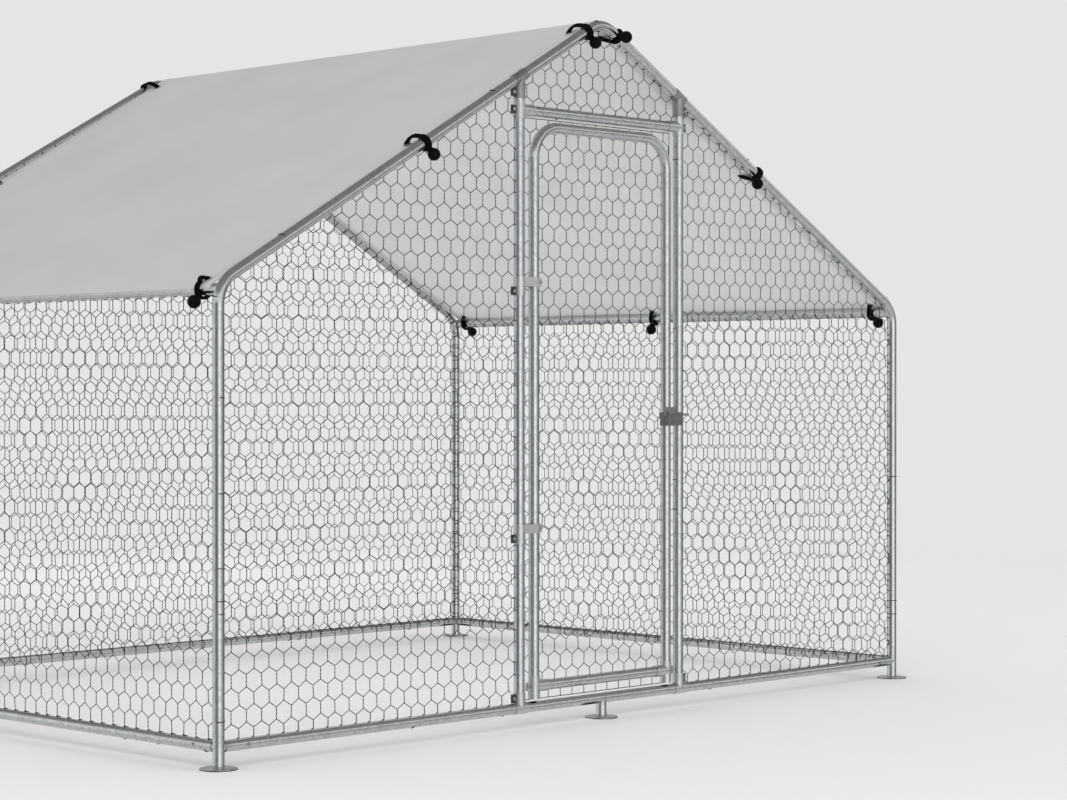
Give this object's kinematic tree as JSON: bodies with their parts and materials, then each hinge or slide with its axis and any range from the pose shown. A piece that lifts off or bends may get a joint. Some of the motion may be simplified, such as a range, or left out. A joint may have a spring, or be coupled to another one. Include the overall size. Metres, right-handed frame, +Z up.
{
  "type": "chicken run",
  "caption": "Walk-in poultry run: pitched galvanised tube frame on foot plates, hexagonal wire netting on every wall, outward hinged door with slide bolt, tied fabric roof cover",
  "frame": {"origin": "centre of the footprint on the ground that the foot plates stand on", "axes": "+X to the right along the gables, as seen from the door, +Y from the door gable to the rear gable, +Z up"},
  "size_m": [2.895, 2.135, 1.9984],
  "materials": {
    "galvanised_tube": "bright galvanised, lightly streaked along the tube",
    "clamp_sheet": "pressed galvanised sheet, duller than the tubes",
    "latch_metal": "dark grey, satin",
    "net_wire": "dull galvanised wire",
    "cover_cloth": "light grey coated woven cloth, matt",
    "tie_plastic": "black moulded plastic",
    "tie_elastic": "black sheathed elastic cord",
    "plated_steel": "zinc plated"
  },
  "bodies": {
    "frame": {"front_left_corner_foot": "galvanised_tube", "front_right_corner_foot": "galvanised_tube", "rear_left_corner_foot": "galvanised_tube", "rear_right_corner_foot": "galvanised_tube", "front_left_corner_post": "galvanised_tube", "front_right_corner_post": "galvanised_tube", "rear_left_corner_post": "galvanised_tube", "rear_right_corner_post": "galvanised_tube", "front_left_rafter": "galvanised_tube", "front_right_rafter": "galvanised_tube", "rear_left_rafter": "galvanised_tube", "rear_right_rafter": "galvanised_tube", "front_ridge_elbow": "galvanised_tube", "rear_ridge_elbow": "galvanised_tube", "ridge_tube_front": "galvanised_tube", "ridge_tube_rear": "galvanised_tube", "left_eave_rail_front": "galvanised_tube", "left_eave_rail_rear": "galvanised_tube", "right_eave_rail_front": "galvanised_tube", "right_eave_rail_rear": "galvanised_tube", "left_base_rail_front": "galvanised_tube", "left_base_rail_rear": "galvanised_tube", "right_base_rail_front": "galvanised_tube", "right_base_rail_rear": "galvanised_tube", "front_base_rail_left": "galvanised_tube", "front_base_rail_right": "galvanised_tube", "rear_base_rail_left": "galvanised_tube", "rear_base_rail_right": "galvanised_tube", "front_mid_foot": "galvanised_tube", "hinge_post": "galvanised_tube", "latch_post": "galvanised_tube", "door_header": "galvanised_tube", "hinge_post_top_clamp": "clamp_sheet", "latch_post_top_clamp": "clamp_sheet", "post_base_clamps": "clamp_sheet", "header_clamps": "clamp_sheet", "upper_hinge_collar": "clamp_sheet", "lower_hinge_collar": "clamp_sheet", "front_left_net": "net_wire", "front_right_net": "net_wire", "transom_net": "net_wire", "left_wall_net": "net_wire", "right_wall_net": "net_wire", "rear_net": "net_wire", "roof_cover": "cover_cloth", "tie_balls": "tie_plastic", "tie_cords": "tie_elastic", "cover_eyelets": "plated_steel", "frame_screws": "plated_steel", "clamp_bolts": "plated_steel"},
    "door": {"door_frame": "galvanised_tube", "door_bottom_bar": "galvanised_tube", "door_bar_clamps": "clamp_sheet", "upper_hinge_band": "clamp_sheet", "lower_hinge_band": "clamp_sheet", "latch_case": "latch_metal", "door_net": "net_wire", "door_bolts": "plated_steel"},
    "latch_bolt": {"latch_bolt": "latch_metal"}
  },
  "joints": [
    {"name": "door_hinge", "type": "hinge", "parent": "frame", "child": "door", "pos_m": [-0.336, -1.02, 0], "axis": [0, 0, -1], "range_deg": [0, 120]},
    {"name": "latch_slide", "type": "slide", "parent": "door", "child": "latch_bolt", "axis": [-1, 0, 0], "range_m": [0, 0.042]}
  ]
}
